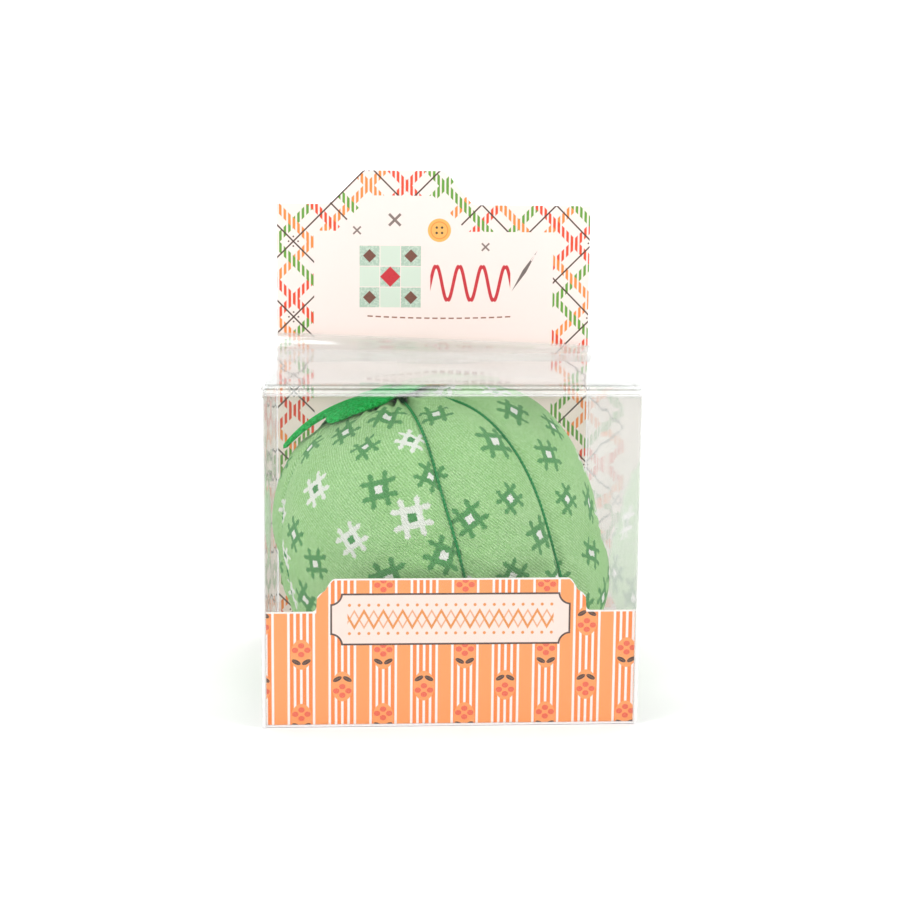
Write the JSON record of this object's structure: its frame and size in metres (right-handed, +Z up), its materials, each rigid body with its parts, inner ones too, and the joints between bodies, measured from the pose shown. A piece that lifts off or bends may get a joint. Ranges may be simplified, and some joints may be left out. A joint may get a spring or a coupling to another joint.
{
  "type": "tomato pincushion in a clear gift box",
  "caption": "Round segmented cotton pincushion with a felt calyx, standing on a printed card insert in a clear folded box with a hinged lid.",
  "frame": {"origin": "centre of the box's base, on the surface it stands on", "axes": "+Z up, -Y towards the front card, +X to the right seen from the front"},
  "size_m": [0.102, 0.102, 0.15],
  "materials": {
    "clear_film": "clear, glossy folded film",
    "printed_card_front": "satin printed card, orange and white stripes",
    "printed_card": "satin printed card, plaid border",
    "printed_cotton": "matt quilting cotton, small printed motif",
    "fibre_filling": "packed fibre",
    "green_floss": "twisted cotton floss, soft sheen",
    "green_felt": "matt fuzzy felt"
  },
  "bodies": {
    "box": {"front_wall": "clear_film", "back_wall": "clear_film", "left_wall": "clear_film", "right_wall": "clear_film", "side_seam_flap": "clear_film", "bottom_panel": "clear_film", "bottom_tuck_flap": "clear_film", "bottom_dust_flap_left": "clear_film", "bottom_dust_flap_right": "clear_film", "card_front": "printed_card_front", "card_base": "printed_card", "card_back": "printed_card"},
    "cushion": {"fabric_cover": "printed_cotton", "stuffing": "fibre_filling", "wrap_threads": "green_floss", "core_thread": "green_floss", "top_gather_thread": "green_floss", "bottom_gather_thread": "green_floss", "leaf_calyx": "green_felt", "calyx_stitch": "green_floss"},
    "lid": {"lid": "clear_film"},
    "lid_tuck": {"lid_tuck_flap": "clear_film"},
    "dust_left": {"dust_flap_left": "clear_film"},
    "dust_right": {"dust_flap_right": "clear_film"}
  },
  "joints": [
    {"name": "cushion_lift", "type": "slide", "parent": "box", "child": "cushion", "axis": [0, 0, 1], "range_m": [0, 0.0925]},
    {"name": "lid_hinge", "type": "hinge", "parent": "box", "child": "lid", "pos_m": [0, -0.0505, 0.0903], "axis": [1, 0, 0], "range_deg": [0, 173]},
    {"name": "dust_left_hinge", "type": "hinge", "parent": "box", "child": "dust_left", "pos_m": [-0.0505, 0, 0.0913], "axis": [0, -1, 0], "range_deg": [0, 178]},
    {"name": "dust_right_hinge", "type": "hinge", "parent": "box", "child": "dust_right", "pos_m": [0.0505, 0, 0.0913], "axis": [0, 1, 0], "range_deg": [0, 178]},
    {"name": "tuck_hinge", "type": "hinge", "parent": "lid", "child": "lid_tuck", "pos_m": [0, 0.0484, 0.0919], "axis": [1, 0, 0], "range_deg": [0, 52]}
  ],
  "couplings": [
    {"joint": "lid_hinge", "follows": "cushion_lift", "rad_per_m": 32.45},
    {"joint": "dust_left_hinge", "follows": "cushion_lift", "rad_per_m": 33.4},
    {"joint": "dust_right_hinge", "follows": "cushion_lift", "rad_per_m": 33.4},
    {"joint": "tuck_hinge", "follows": "cushion_lift", "rad_per_m": 9.7}
  ]
}
